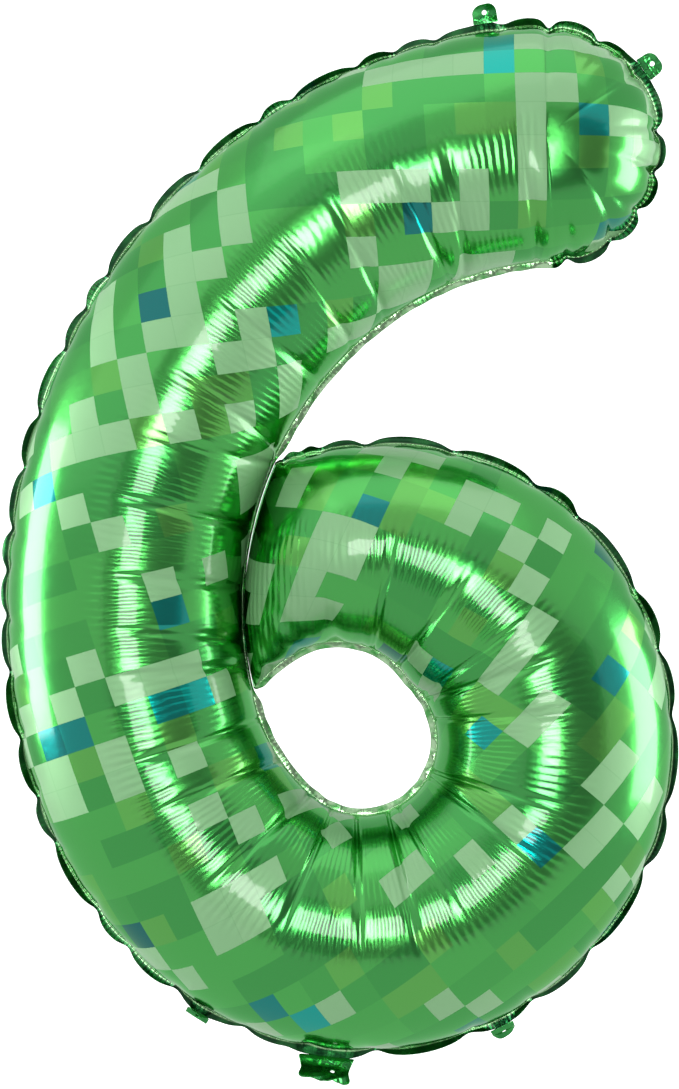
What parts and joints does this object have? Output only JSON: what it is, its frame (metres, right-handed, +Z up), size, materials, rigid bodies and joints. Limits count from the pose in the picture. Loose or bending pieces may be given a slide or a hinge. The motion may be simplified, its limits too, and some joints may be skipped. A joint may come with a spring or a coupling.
{
  "type": "number balloon",
  "caption": "Inflated foil balloon shaped like the digit 6, with domed printed films joined by a flat heat-sealed rim, small die-cut hanging tabs and a folding inflation tail.",
  "frame": {"origin": "under the middle of the whole balloon, at the level of the inflation tail's foot, in the plane of the heat-sealed rim", "axes": "+Z up the digit, +X to the reader's right, and the printed front faces -Y"},
  "size_m": [0.5896, 0.176, 0.9435],
  "materials": {
    "printed_foil_front": "metallised film with a see-through green print and a pattern of pale, lime and teal squares, mirror gloss",
    "printed_foil_back": "as the front film",
    "heat_seal": "fused sealing layer, pale, semi-gloss",
    "valve_film": "thin see-through film, inside the balloon",
    "tab_film": "the two foils welded flat, green, glossy",
    "tail_film": "printed foil, green, glossy",
    "tail_seal": "fused sealing layer"
  },
  "bodies": {
    "balloon": {"front_foil": "printed_foil_front", "back_foil": "printed_foil_back", "perimeter_seal": "heat_seal", "valve_film_front": "valve_film", "valve_film_back": "valve_film"},
    "crown_tab": {"hang_tab_crown": "tab_film"},
    "tip_tab": {"hang_tab_tip": "tab_film"},
    "base_left_tab": {"hang_tab_base_left": "tab_film"},
    "base_right_tab": {"hang_tab_base_right": "tab_film"},
    "tail": {"tail_ply_front": "tail_film", "tail_ply_back": "tail_film", "tail_side_seals": "tail_seal"}
  },
  "joints": [
    {"name": "crown_tab_fold", "type": "hinge", "parent": "balloon", "child": "crown_tab", "pos_m": [0.12739, 0, 0.9269], "axis": [0.989, 0, 0.1478], "range_deg": [-90, 90]},
    {"name": "tip_tab_fold", "type": "hinge", "parent": "balloon", "child": "tip_tab", "pos_m": [0.26513, 0, 0.88598], "axis": [0.5878, 0, -0.809], "range_deg": [-90, 90]},
    {"name": "base_left_tab_fold", "type": "hinge", "parent": "balloon", "child": "base_left_tab", "pos_m": [-0.12305, 0, 0.06397], "axis": [-0.8572, 0, 0.515], "range_deg": [-168, 12]},
    {"name": "base_right_tab_fold", "type": "hinge", "parent": "balloon", "child": "base_right_tab", "pos_m": [0.14142, 0, 0.05242], "axis": [-0.8988, 0, -0.4384], "range_deg": [-35, 145]},
    {"name": "tail_fold", "type": "hinge", "parent": "balloon", "child": "tail", "pos_m": [-0.01158, 0, 0.02613], "axis": [-0.9936, 0, 0.1132], "range_deg": [-125, 55]}
  ]
}
